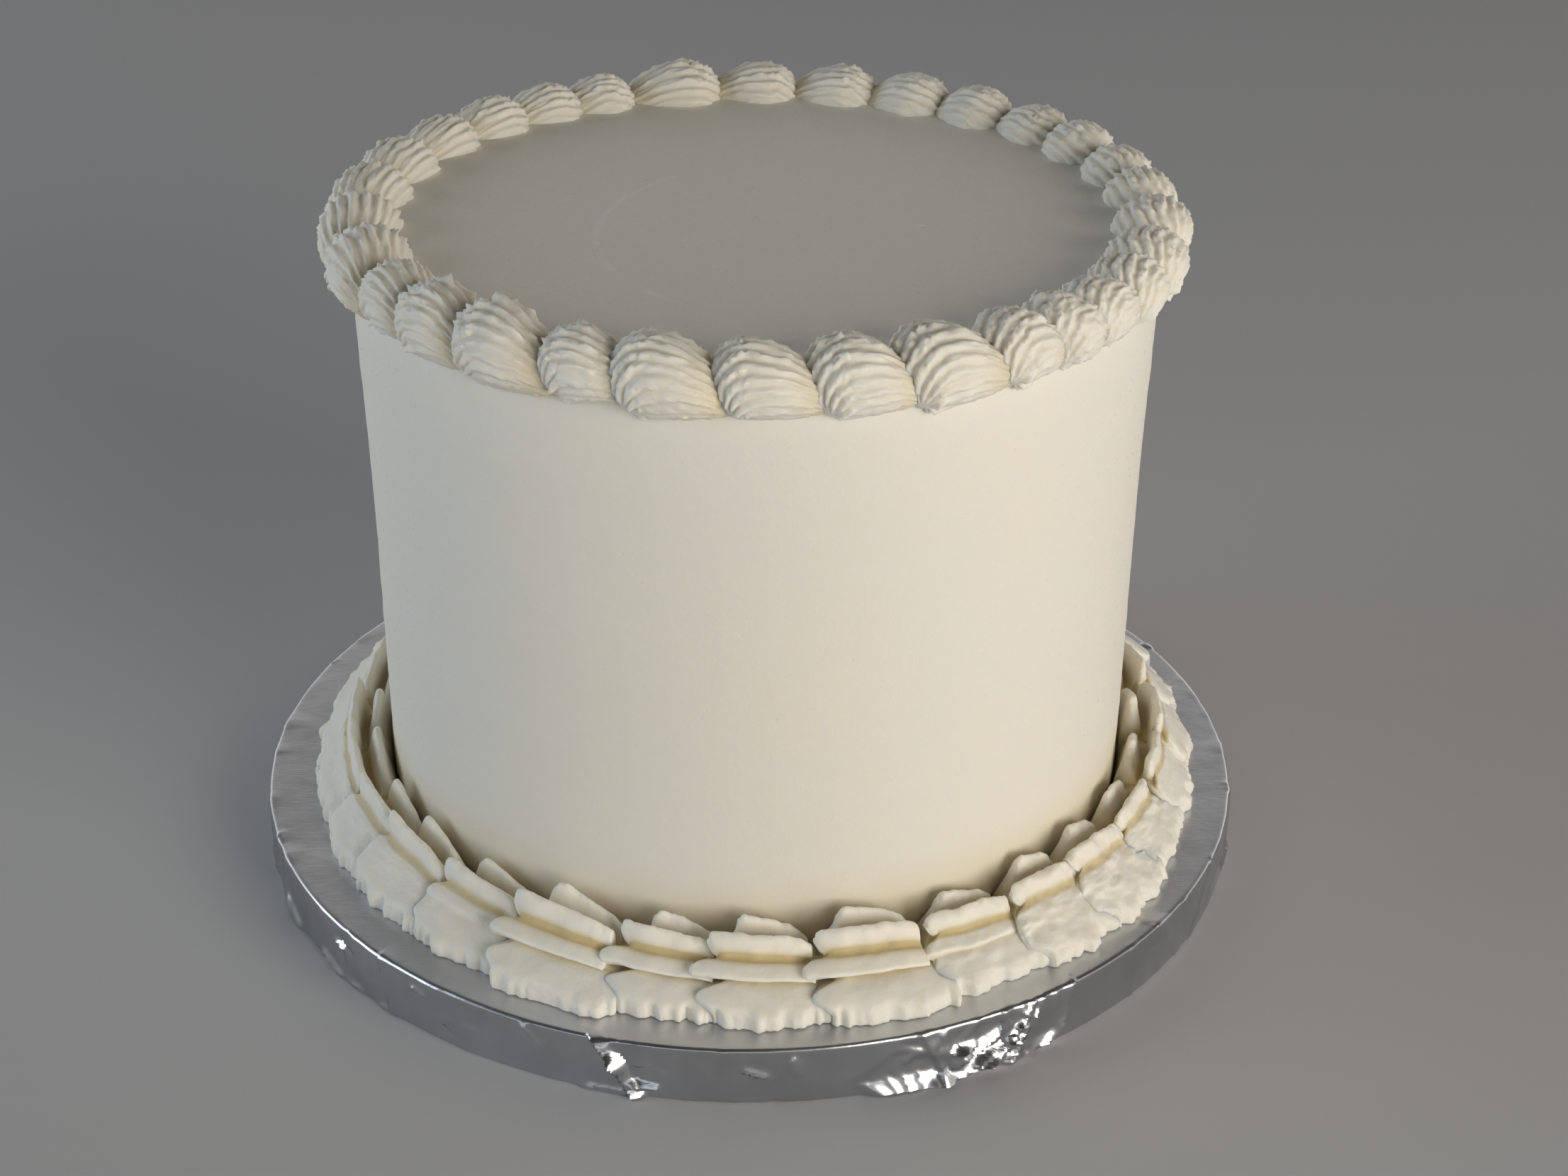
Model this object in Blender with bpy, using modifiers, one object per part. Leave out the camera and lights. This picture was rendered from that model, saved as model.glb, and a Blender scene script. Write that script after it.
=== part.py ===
"""An iced cake on a foil-covered board, in metres, +Z up.

The origin is on the underside of the board, under its centre. The cake is one solid coat of
icing over what it hides. A border of piped shells lies on its top edge, and a border of wide
piped ruffles lies on the board round its foot.
"""

import math
import random

import bmesh
import bpy
from mathutils import Vector

MM = 0.001
GAP = 0.3 * MM  # clearance between pieces that touch
MERGE_DISTANCE = 0.002 * MM
FLAT_ANGLE = math.radians(1.5)
SHARP_ANGLE = math.radians(40)
TURN_MERGE = 0.01 * MM

# Board
BOARD_RADIUS = 101.6 * MM
BOARD_THICKNESS = 12.4 * MM
BOARD_EDGE = 0.9 * MM
BOARD_SIDES = 54
BOARD_EDGE_STEPS = 1
BOARD_UNEVENNESS = 0.3 * MM
BOARD_WAVES = ((5, 0.6), (9, 2.1))  # waves round the rim, and where each one starts in radians

# Cake
CAKE_CENTRE = (1.1 * MM, 0.1 * MM)
CAKE_HEIGHT = 120.1 * MM
CAKE_FOOT_RADIUS = 76.1 * MM
CAKE_TOP_RADIUS = 76.5 * MM
CAKE_BULGE = 0.5 * MM
CAKE_BULGE_DEPTH = 12 * MM
CAKE_CORNER = 3 * MM
CAKE_CORNER_STEPS = 2
CAKE_SIDES = 60

# Top border: shells piped counterclockwise, each head over the tail before it
SHELL_RING_RADIUS = 74.9 * MM
SHELL_DROP = 0.4 * MM  # middle of a shell's head below the cake's top
SHELL_HEAD_LENGTH = 7.0 * MM  # from the middle of the head to its round end
SHELL_OVERLAP = 4.2 * MM  # how far a tail runs under the next head
SHELL_HALF_WIDTH = 7.6 * MM
SHELL_HALF_HEIGHT = 6.8 * MM
SHELL_TAPER = 0.5  # share of its girth that the tail loses by its end
SHELL_SLANT = 0.2  # how far the tail drifts outwards for each step along
SHELL_SAG = 0.34  # how far the tail has sunk at its end, as a share of its length
SHELL_START = Vector((0.50, -0.38, -0.78)).normalized()  # where icing first wells up: out, along, up
SHELL_END = Vector((0.2, 0.93, -0.3)).normalized()  # where the tail is pulled off
SHELL_PLACES = (  # middles of the heads round the top, in degrees, as the hand spaced them
    -136.8, -125.3, -112.8, -102.6, -90.3, -78.1, -66.6, -54.0, -45.3, -37.3, -27.8,
    -17.8, -4.8, 7.7, 17.7, 29.7, 39.7, 51.7, 63.7, 76.0, 89.2, 102.5,
    116.7, 126.2, 137.2, 148.5, 161.2, 173.2, 186.2, 200.2, 213.2,
)
SHELL_SIZES = (  # shares of full size, in the same order
    1.00, 1.06, 0.94, 1.07, 1.00, 1.04, 1.08, 1.00, 0.98, 0.92, 0.96,
    1.00, 1.02, 0.98, 0.96, 1.00, 0.95, 1.00, 1.03, 1.00, 1.00, 1.12,
    0.95, 0.93, 0.97, 0.94, 1.00, 1.02, 1.05, 1.08, 0.95,
)
SEAT_DEPTH = 40 * MM  # how far down the wall the border is cut to fit the cake

# Ridges that the star nozzle leaves on a shell, as lines from its start to its end
RIDGE_COUNT = 10
RIDGE_DEPTH = 0.14  # share of the shell's radius
RIDGE_STEPS = tuple(math.radians(angle) for angle in (32, 68, 102, 138))

# Foot border: ruffles piped counterclockwise, each head over the tail before it
RUFFLE_COUNT = 28
RUFFLE_RING_OUT = 10 * MM  # middle of a ruffle, out from the cake's foot
RUFFLE_FIRST_ANGLE = math.radians(-152.2)
RUFFLE_SPACING_SPREAD = math.radians(1.6)
RUFFLE_SPACING_SEED = 24650
RUFFLE_SIZE_SPREAD = 0.07
RUFFLE_SIZE_SEED = 9

# One ruffle at its fullest: out from the cake's foot, up from the board, later start of its head
RUFFLE_OUTLINE = (
    (0.6 * MM, -1.0 * MM, 0.0),  # beside the wall
    (3.6 * MM, 16.0 * MM, 5.5 * MM),  # first fin
    (6.4 * MM, 8.2 * MM, 3.0 * MM),  # groove
    (8.2 * MM, 14.8 * MM, 1.0 * MM),  # second fin
    (9.8 * MM, 14.0 * MM, 0.0),
    (10.4 * MM, 7.0 * MM, -1.0 * MM),  # groove
    (13.6 * MM, 8.4 * MM, -2.4 * MM),  # lip
    (12.4 * MM, 5.2 * MM, -1.0 * MM),  # groove under the lip
    (16.2 * MM, 5.0 * MM, -1.0 * MM),  # skirt
    (19.0 * MM, 2.4 * MM, 0.0),
    (19.7 * MM, -1.0 * MM, 0.0),  # foot on the board
)

# Along a ruffle, head first: place, share of the height, share of the reach, lift, stagger
RUFFLE_STATIONS = (
    (-11.2 * MM, 0.6, 0.88, 2.2 * MM, 1.0),
    (-9.4 * MM, 1.0, 0.99, 1.0 * MM, 1.0),
    (-1.0 * MM, 0.94, 1.02, 0.0, 0.3),
    (6.5 * MM, 0.72, 0.96, 0.0, 0.0),
    (12.5 * MM, 0.45, 0.84, 0.0, 0.0),
)

CAKE_TOP = BOARD_THICKNESS + CAKE_HEIGHT


def clear_scene():
    """Remove whatever the open scene holds."""
    for obj in list(bpy.data.objects):
        bpy.data.objects.remove(obj, do_unlink=True)


def new_collection(name):
    collection = bpy.data.collections.new(name)
    bpy.context.scene.collection.children.link(collection)
    return collection


def icing(name, colour, roughness):
    """A matt buttercream finish."""
    return finish(name, colour, roughness, 0.0)


def finish(name, colour, roughness, metallic):
    material = bpy.data.materials.new(name)
    material.use_nodes = True
    shader = material.node_tree.nodes["Principled BSDF"]
    shader.inputs["Base Color"].default_value = (*colour, 1.0)
    shader.inputs["Roughness"].default_value = roughness
    shader.inputs["Metallic"].default_value = metallic
    return material


def add_object(name, mesh, collection):
    obj = bpy.data.objects.new(name, mesh)
    collection.objects.link(obj)
    return obj


def turned(name, profile, sides, collection):
    """Revolve a profile of (radius, height) points, from the axis at the top to the axis below."""
    mesh = bpy.data.meshes.new(name)
    points = [(radius, 0.0, height) for radius, height in profile]
    mesh.from_pydata(points, [(i, i + 1) for i in range(len(points) - 1)], [])
    obj = add_object(name, mesh, collection)
    screw = obj.modifiers.new("Turn", "SCREW")
    screw.angle = math.tau
    screw.steps = sides
    screw.render_steps = sides
    screw.use_merge_vertices = True
    screw.merge_threshold = TURN_MERGE
    return obj


def corner(radius, height, size, steps, start):
    """Points on a quarter round of a turned edge, from the angle start downwards."""
    points = []
    for step in range(steps + 1):
        angle = start - math.pi / 2 * step / steps
        points.append((radius + size * math.cos(angle), height + size * math.sin(angle)))
    return points


def cake_profile(clearance, bottom):
    """The cake's outline from the middle of its top to a level below, grown by a clearance."""
    top = CAKE_TOP + clearance
    reach = CAKE_TOP_RADIUS + clearance
    profile = [(0.0, top)]
    profile += corner(reach - CAKE_CORNER, top - CAKE_CORNER, CAKE_CORNER, CAKE_CORNER_STEPS, math.pi / 2)
    profile.append((reach + CAKE_BULGE, top - CAKE_BULGE_DEPTH))
    profile.append((CAKE_FOOT_RADIUS + clearance, bottom))
    profile.append((0.0, bottom))
    return profile


def make_cake(collection):
    cake = turned("cake_body", cake_profile(0.0, BOARD_THICKNESS + GAP), CAKE_SIDES, collection)
    cake.location = (*CAKE_CENTRE, 0.0)
    cake.data.materials.append(icing("cake_coat", (0.80, 0.77, 0.66), 0.55))
    return cake


def board_profile():
    rim = BOARD_RADIUS - BOARD_EDGE
    profile = [(0.0, BOARD_THICKNESS)]
    profile += corner(rim, BOARD_THICKNESS - BOARD_EDGE, BOARD_EDGE, BOARD_EDGE_STEPS, math.pi / 2)
    profile += corner(rim, BOARD_EDGE, BOARD_EDGE, BOARD_EDGE_STEPS, 0.0)
    profile.append((0.0, 0.0))
    return profile


def make_board(collection):
    """The board, with a rim that a hand-wrapped cover leaves slightly uneven."""
    board = turned("board", board_profile(), BOARD_SIDES, collection)
    mesh = bpy.data.meshes.new_from_object(board.evaluated_get(bpy.context.evaluated_depsgraph_get()))
    mesh.name = "board"
    for vertex in mesh.vertices:
        angle = math.atan2(vertex.co.y, vertex.co.x)
        waves = [math.cos(count * angle + start) for count, start in BOARD_WAVES]
        scale = 1 + BOARD_UNEVENNESS * (sum(waves) / len(waves) - 1) / BOARD_RADIUS
        vertex.co.x *= scale
        vertex.co.y *= scale
    board.modifiers.clear()
    board.data = mesh
    board.data.materials.append(finish("board_foil", (0.55, 0.56, 0.58), 0.25, 1.0))
    return board


def on_ring(ring_radius, angle, along, out, height):
    """A point on a border: along its circle from an angle, out from the circle, and up."""
    turn = angle + along / ring_radius
    reach = ring_radius + out
    x = CAKE_CENTRE[0] + reach * math.cos(turn)
    y = CAKE_CENTRE[1] + reach * math.sin(turn)
    return Vector((x, y, height))


def loft(name, rings, collection, ends=None):
    """Join rings of equally many points into one closed body, with a flat or a pointed end each."""
    body = bmesh.new()
    rows = [[body.verts.new(point) for point in ring] for ring in rings]
    for row, following in zip(rows, rows[1:]):
        for i, vertex in enumerate(row):
            j = (i + 1) % len(row)
            body.faces.new((vertex, row[j], following[j], following[i]))
    if ends is None:
        body.faces.new(rows[0])
        body.faces.new(rows[-1])
    else:
        for row, end in zip((rows[0], rows[-1]), ends):
            tip = body.verts.new(end)
            for i, vertex in enumerate(row):
                body.faces.new((vertex, row[(i + 1) % len(row)], tip))
    bmesh.ops.recalc_face_normals(body, faces=body.faces)
    bmesh.ops.triangulate(body, faces=body.faces)
    mesh = bpy.data.meshes.new(name)
    body.to_mesh(mesh)
    body.free()
    return add_object(name, mesh, collection)


def shell_direction(sweep, turn):
    """A direction from the middle of a shell's head, given how far along a ridge and which ridge.

    Ridges run from the start of the shell round its head to the end of its tail. The start and the
    end don't face opposite ways, so the circles across the ridges lean over from one to the other.
    """
    far_end = -SHELL_END
    hinge = SHELL_START.cross(far_end).normalized()
    lean = SHELL_START.angle(far_end) * sweep / math.pi
    middle = SHELL_START * math.cos(lean) + hinge.cross(SHELL_START) * math.sin(lean)
    across = hinge * math.cos(turn) + middle.cross(hinge) * math.sin(turn)
    return middle * math.cos(sweep) + across * math.sin(sweep)


def shell_point(sweep, turn, depth, tail_length):
    """A point on a shell about the middle of its head: out, along and up."""
    out, along, up = shell_direction(sweep, turn) * (1 - depth)
    if along < 0:
        return Vector((out * SHELL_HALF_WIDTH, along * SHELL_HEAD_LENGTH, up * SHELL_HALF_HEIGHT))
    girth = 1 - SHELL_TAPER * along ** 2
    place = along * tail_length
    width = out * SHELL_HALF_WIDTH * girth + SHELL_SLANT * place
    return Vector((width, place, up * SHELL_HALF_HEIGHT * girth - SHELL_SAG * place * along))


def make_shell(index, angle, gap, size, collection):
    """Loft one shell from its start to its end, with a ridge between every two grooves."""
    tail_length = gap * SHELL_RING_RADIUS - SHELL_HEAD_LENGTH + SHELL_OVERLAP

    def placed(sweep, turn, depth):
        out, along, up = shell_point(sweep, turn, depth, tail_length / size) * size
        return on_ring(SHELL_RING_RADIUS, angle, along, out, CAKE_TOP - SHELL_DROP + up)

    rings = []
    for sweep in RIDGE_STEPS:
        ring = []
        for step in range(2 * RIDGE_COUNT):
            depth = RIDGE_DEPTH if step % 2 else 0.0
            ring.append(placed(sweep, math.pi * step / RIDGE_COUNT, depth))
        rings.append(ring)
    ends = [placed(0.0, 0.0, 0.0), placed(math.pi, 0.0, 0.0)]
    return loft(f"shell_{index:02d}", rings, collection, ends)


def ruffle_angles():
    """Where the ruffles stand round the foot."""
    draw = random.Random(RUFFLE_SPACING_SEED)
    angles = []
    for index in range(RUFFLE_COUNT):
        slip = draw.uniform(-RUFFLE_SPACING_SPREAD, RUFFLE_SPACING_SPREAD)
        angles.append(RUFFLE_FIRST_ANGLE + math.tau * index / RUFFLE_COUNT + slip)
    return angles


def sizes(count, spread, seed):
    """Uneven sizes of piped pieces, as shares of the size that the rule gives."""
    draw = random.Random(seed)
    return [1 + draw.uniform(-spread, spread) for _ in range(count)]


def gaps(angles):
    """The angle from each piece to the next one round the ring."""
    return [following - angle for angle, following in zip(angles, angles[1:] + [angles[0] + math.tau])]


def make_ruffle(index, angle, gap, size, collection):
    """Loft one ruffle from its raised head to the tail that the next one covers."""
    ring_radius = CAKE_FOOT_RADIUS + RUFFLE_RING_OUT
    wall_side = RUFFLE_OUTLINE[0][0]
    stretch = gap * RUFFLE_COUNT / math.tau
    rings = []
    for place, height, reach, lift, stagger in RUFFLE_STATIONS:
        if place > 0:
            place *= stretch
        ring = []
        for out, up, start in RUFFLE_OUTLINE:
            along = place + start * stagger
            spread = wall_side + (out - wall_side) * reach * size - RUFFLE_RING_OUT
            level = up * height * size + lift if up > 0 else up
            ring.append(on_ring(ring_radius, angle, along, spread, BOARD_THICKNESS + level))
        rings.append(ring)
    return loft(f"ruffle_{index:02d}", rings, collection)


def merge_flat(body):
    """Clear away the slivers that a join leaves within one flat face."""
    bmesh.ops.remove_doubles(body, verts=body.verts, dist=MERGE_DISTANCE)
    bmesh.ops.dissolve_limit(body, angle_limit=FLAT_ANGLE, verts=body.verts, edges=body.edges)
    bmesh.ops.triangulate(body, faces=body.faces)


def separate_shells(body):
    """The vertices of each closed surface, since those of a sealed hollow touch no other."""
    unseen = set(body.verts)
    surfaces = []
    while unseen:
        front = [unseen.pop()]
        surface = list(front)
        while front:
            for edge in front.pop().link_edges:
                for vertex in edge.verts:
                    if vertex in unseen:
                        unseen.remove(vertex)
                        surface.append(vertex)
                        front.append(vertex)
        surfaces.append(surface)
    return surfaces


def fill_hollows(body):
    """Keep the outer surface alone, without sealed hollows and loose scraps."""
    surfaces = sorted(separate_shells(body), key=len)
    for surface in surfaces[:-1]:
        bmesh.ops.delete(body, geom=surface, context="VERTS")


def fuse(name, pieces, spare, cutter, home):
    """Join overlapping pieces into one body and take the cutter out of it."""
    first = pieces[0]
    spare.objects.unlink(first)
    home.objects.link(first)
    union = first.modifiers.new("Join", "BOOLEAN")
    union.operation = "UNION"
    union.operand_type = "COLLECTION"
    union.collection = spare
    cut = first.modifiers.new("Seat", "BOOLEAN")
    cut.operation = "DIFFERENCE"
    cut.object = cutter
    mesh = bpy.data.meshes.new_from_object(first.evaluated_get(bpy.context.evaluated_depsgraph_get()))
    mesh.name = name
    body = bmesh.new()
    body.from_mesh(mesh)
    merge_flat(body)
    fill_hollows(body)
    body.to_mesh(mesh)
    body.free()
    for piece in pieces:
        bpy.data.objects.remove(piece, do_unlink=True)
    bpy.data.collections.remove(spare)
    return add_object(name, mesh, home)


def hide_cutter(cutter):
    cutter.hide_render = True
    cutter.display_type = "WIRE"


def make_top_border(home, cutters):
    """Shells fused into one ring that sits over the cake's top edge."""
    seat = turned("top_seat_cutter", cake_profile(GAP, CAKE_TOP - SEAT_DEPTH), CAKE_SIDES, cutters)
    seat.location = (*CAKE_CENTRE, 0.0)
    hide_cutter(seat)
    spare = new_collection("shells")
    angles = [math.radians(place) for place in SHELL_PLACES]
    shells = []
    for index, (angle, gap, size) in enumerate(zip(angles, gaps(angles), SHELL_SIZES)):
        shells.append(make_shell(index, angle, gap, size, spare))
    border = fuse("top_shell_border", shells, spare, seat, home)
    border.data.materials.append(icing("shell_icing", (0.82, 0.80, 0.70), 0.5))
    return border


def make_foot_border(home, cutters):
    """Ruffles fused into one ring that lies flat on the board."""
    level = BOARD_THICKNESS + GAP
    outline = [(0.0, level), (BOARD_RADIUS, level), (BOARD_RADIUS, 0.0), (0.0, 0.0)]
    floor = turned("board_seat_cutter", outline, CAKE_SIDES, cutters)
    hide_cutter(floor)
    spare = new_collection("ruffles")
    girths = sizes(RUFFLE_COUNT, RUFFLE_SIZE_SPREAD, RUFFLE_SIZE_SEED)
    angles = ruffle_angles()
    ruffles = []
    for index, (angle, gap, size) in enumerate(zip(angles, gaps(angles), girths)):
        ruffles.append(make_ruffle(index, angle, gap, size, spare))
    border = fuse("foot_ruffle_border", ruffles, spare, floor, home)
    border.data.materials.append(icing("ruffle_icing", (0.82, 0.79, 0.68), 0.5))
    return border


def shade(obj):
    obj.data.shade_smooth()
    obj.data.set_sharp_from_angle(angle=SHARP_ANGLE)


def main():
    clear_scene()
    parts = new_collection("iced_cake_on_board")
    cutters = new_collection("cutters")
    board = make_board(parts)
    cake = make_cake(parts)
    top_border = make_top_border(parts, cutters)
    foot_border = make_foot_border(parts, cutters)
    for obj in (board, cake, top_border, foot_border):
        shade(obj)


main()
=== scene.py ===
"""Dress an iced cake on its foil-covered board: piped borders, a smoothed coat and creased foil.

Sizes are in metres. The borders follow the same rules as the solids, with finer ridges, thin fins
and torn edges. A node tree grows each border round the cake, one piece at every point of a mesh.
"""

import logging
import math
import random
from dataclasses import dataclass
from enum import Enum

import bmesh
import bpy
from mathutils import Matrix, Vector, geometry, noise


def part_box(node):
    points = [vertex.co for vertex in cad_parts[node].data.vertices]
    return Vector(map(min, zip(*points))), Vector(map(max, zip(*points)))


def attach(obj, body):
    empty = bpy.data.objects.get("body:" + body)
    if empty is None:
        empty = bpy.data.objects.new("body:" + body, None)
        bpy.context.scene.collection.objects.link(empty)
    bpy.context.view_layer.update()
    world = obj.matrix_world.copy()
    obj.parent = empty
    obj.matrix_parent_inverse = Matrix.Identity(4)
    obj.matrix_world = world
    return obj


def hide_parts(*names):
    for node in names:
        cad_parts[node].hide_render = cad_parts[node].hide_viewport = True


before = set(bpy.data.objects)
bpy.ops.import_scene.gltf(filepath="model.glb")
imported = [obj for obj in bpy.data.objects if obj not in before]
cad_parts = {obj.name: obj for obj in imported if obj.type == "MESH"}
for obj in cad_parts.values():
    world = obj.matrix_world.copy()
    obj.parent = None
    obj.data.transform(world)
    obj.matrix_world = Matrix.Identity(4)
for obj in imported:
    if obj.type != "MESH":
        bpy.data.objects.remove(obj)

log = logging.getLogger("cake")

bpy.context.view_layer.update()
MM = 0.001
BODY = "root"
CAKE_LOW, CAKE_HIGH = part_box("cake_body")
BOARD_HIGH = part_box("board")[1]
CAKE_CENTRE = (CAKE_LOW + CAKE_HIGH) / 2
CAKE_TOP = CAKE_HIGH.z
BOARD_TOP = BOARD_HIGH.z
BOARD_RADIUS = BOARD_HIGH.x
CAKE_FOOT_RADIUS = 76.1 * MM
CAKE_TOP_RADIUS = 76.5 * MM
RIM_MM_PER_DEGREE = 1.77
SEAM_DISTANCE = 0.002 * MM


class Term:
    """A number in a node tree, so that a rule reads as arithmetic.

    Args:
        tree: the node tree that the number flows through.
        socket: the output socket that carries it.
    """

    def __init__(self, tree: bpy.types.NodeTree, socket: bpy.types.NodeSocket) -> None:
        """Keep the tree and the socket."""
        self.tree = tree
        self.socket = socket

    def apply(self, operation: str, *others: "Term | float") -> "Term":
        """Add a Math node.

        Args:
            operation: the node's operation.
            others: its other inputs.

        Returns:
            The node's result.
        """
        return calculate(self.tree, operation, self, *others)

    def __add__(self, other: "Term | float") -> "Term":
        """Add a number."""
        return self.apply("ADD", other)

    def __sub__(self, other: "Term | float") -> "Term":
        """Take a number away."""
        return self.apply("SUBTRACT", other)

    def __mul__(self, other: "Term | float") -> "Term":
        """Multiply by a number."""
        return self.apply("MULTIPLY", other)

    def __truediv__(self, other: "Term | float") -> "Term":
        """Divide by a number."""
        return self.apply("DIVIDE", other)

    def __rsub__(self, other: float) -> "Term":
        """Take this away from a plain number."""
        return calculate(self.tree, "SUBTRACT", other, self)

    def __neg__(self) -> "Term":
        """Turn the sign."""
        return self.apply("MULTIPLY", -1.0)

    __radd__ = __add__
    __rmul__ = __mul__

    def sin(self) -> "Term":
        """The sine of an angle."""
        return self.apply("SINE")

    def cos(self) -> "Term":
        """The cosine of an angle."""
        return self.apply("COSINE")

    def size(self) -> "Term":
        """The number without its sign."""
        return self.apply("ABSOLUTE")

    def power(self, exponent: float) -> "Term":
        """Raise to a power."""
        return self.apply("POWER", exponent)

    def at_least(self, limit: float) -> "Term":
        """The larger of this and a limit."""
        return self.apply("MAXIMUM", limit)

    def at_most(self, limit: float) -> "Term":
        """The smaller of this and a limit."""
        return self.apply("MINIMUM", limit)

    def whole(self) -> "Term":
        """Round down to a whole number."""
        return self.apply("FLOOR")

    def ramp(self, start: "Term | float", end: "Term | float") -> "Term":
        """Rise smoothly from 0 to 1.

        Args:
            start: where the rise starts.
            end: where it ends.

        Returns:
            The share of the rise.
        """
        return add_node(
            self.tree, "ShaderNodeMapRange", {"Value": self, "From Min": start, "From Max": end},
            interpolation_type="SMOOTHSTEP")


def feed(tree: bpy.types.NodeTree, socket: bpy.types.NodeSocket, value: object) -> None:
    """Link a term to a socket, or set a plain value on it.

    Args:
        tree: the node tree.
        socket: the input socket.
        value: a term or a plain value.
    """
    if isinstance(value, Term):
        tree.links.new(value.socket, socket)
    else:
        socket.default_value = value


def calculate(tree: bpy.types.NodeTree, operation: str, *values: Term | float) -> Term:
    """Add a Math node.

    Args:
        tree: the node tree.
        operation: the node's operation.
        values: its inputs in order.

    Returns:
        The node's result.
    """
    made = tree.nodes.new("ShaderNodeMath")
    made.operation = operation
    for socket, value in zip(made.inputs, values):
        feed(tree, socket, value)
    return Term(tree, made.outputs[0])


def add_node(tree: bpy.types.NodeTree, kind: str, inputs: dict[str, object] | None = None,
             output: str | int = 0, **settings: object) -> Term:
    """Add any node.

    Args:
        tree: the node tree.
        kind: the node's type.
        inputs: terms and values for its named inputs.
        output: the output that is wanted.
        settings: the node's own properties.

    Returns:
        The wanted output.
    """
    made = tree.nodes.new(kind)
    for name, value in settings.items():
        setattr(made, name, value)
    for name, value in (inputs or {}).items():
        feed(tree, made.inputs[name], value)
    return Term(tree, made.outputs[output])


def point_at(x: Term | float, y: Term | float, z: Term | float) -> Term:
    """Put three numbers together, at least one of them a term."""
    tree = next(part.tree for part in (x, y, z) if isinstance(part, Term))
    return add_node(tree, "ShaderNodeCombineXYZ", {"X": x, "Y": y, "Z": z})


def parts_of(place: Term) -> tuple[Term, Term, Term]:
    """The three parts of a place or direction."""
    split = place.tree.nodes.new("ShaderNodeSeparateXYZ")
    feed(place.tree, split.inputs[0], place)
    return tuple(Term(place.tree, socket) for socket in split.outputs)


def noise_at(place: Term, scale: float, detail: float = 2.0) -> Term:
    """Smooth noise between -0.5 and 0.5.

    Args:
        place: where to read it.
        scale: how many waves for each unit.
        detail: how many finer layers it has.

    Returns:
        The noise.
    """
    inputs = {"Vector": place, "Scale": scale, "Detail": detail}
    return add_node(place.tree, "ShaderNodeTexNoise", inputs) - 0.5


def chance(number: Term) -> Term:
    """A fixed random number from 0 to 1 for each whole number."""
    return add_node(number.tree, "ShaderNodeTexWhiteNoise", {"W": number}, noise_dimensions="1D")


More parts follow.
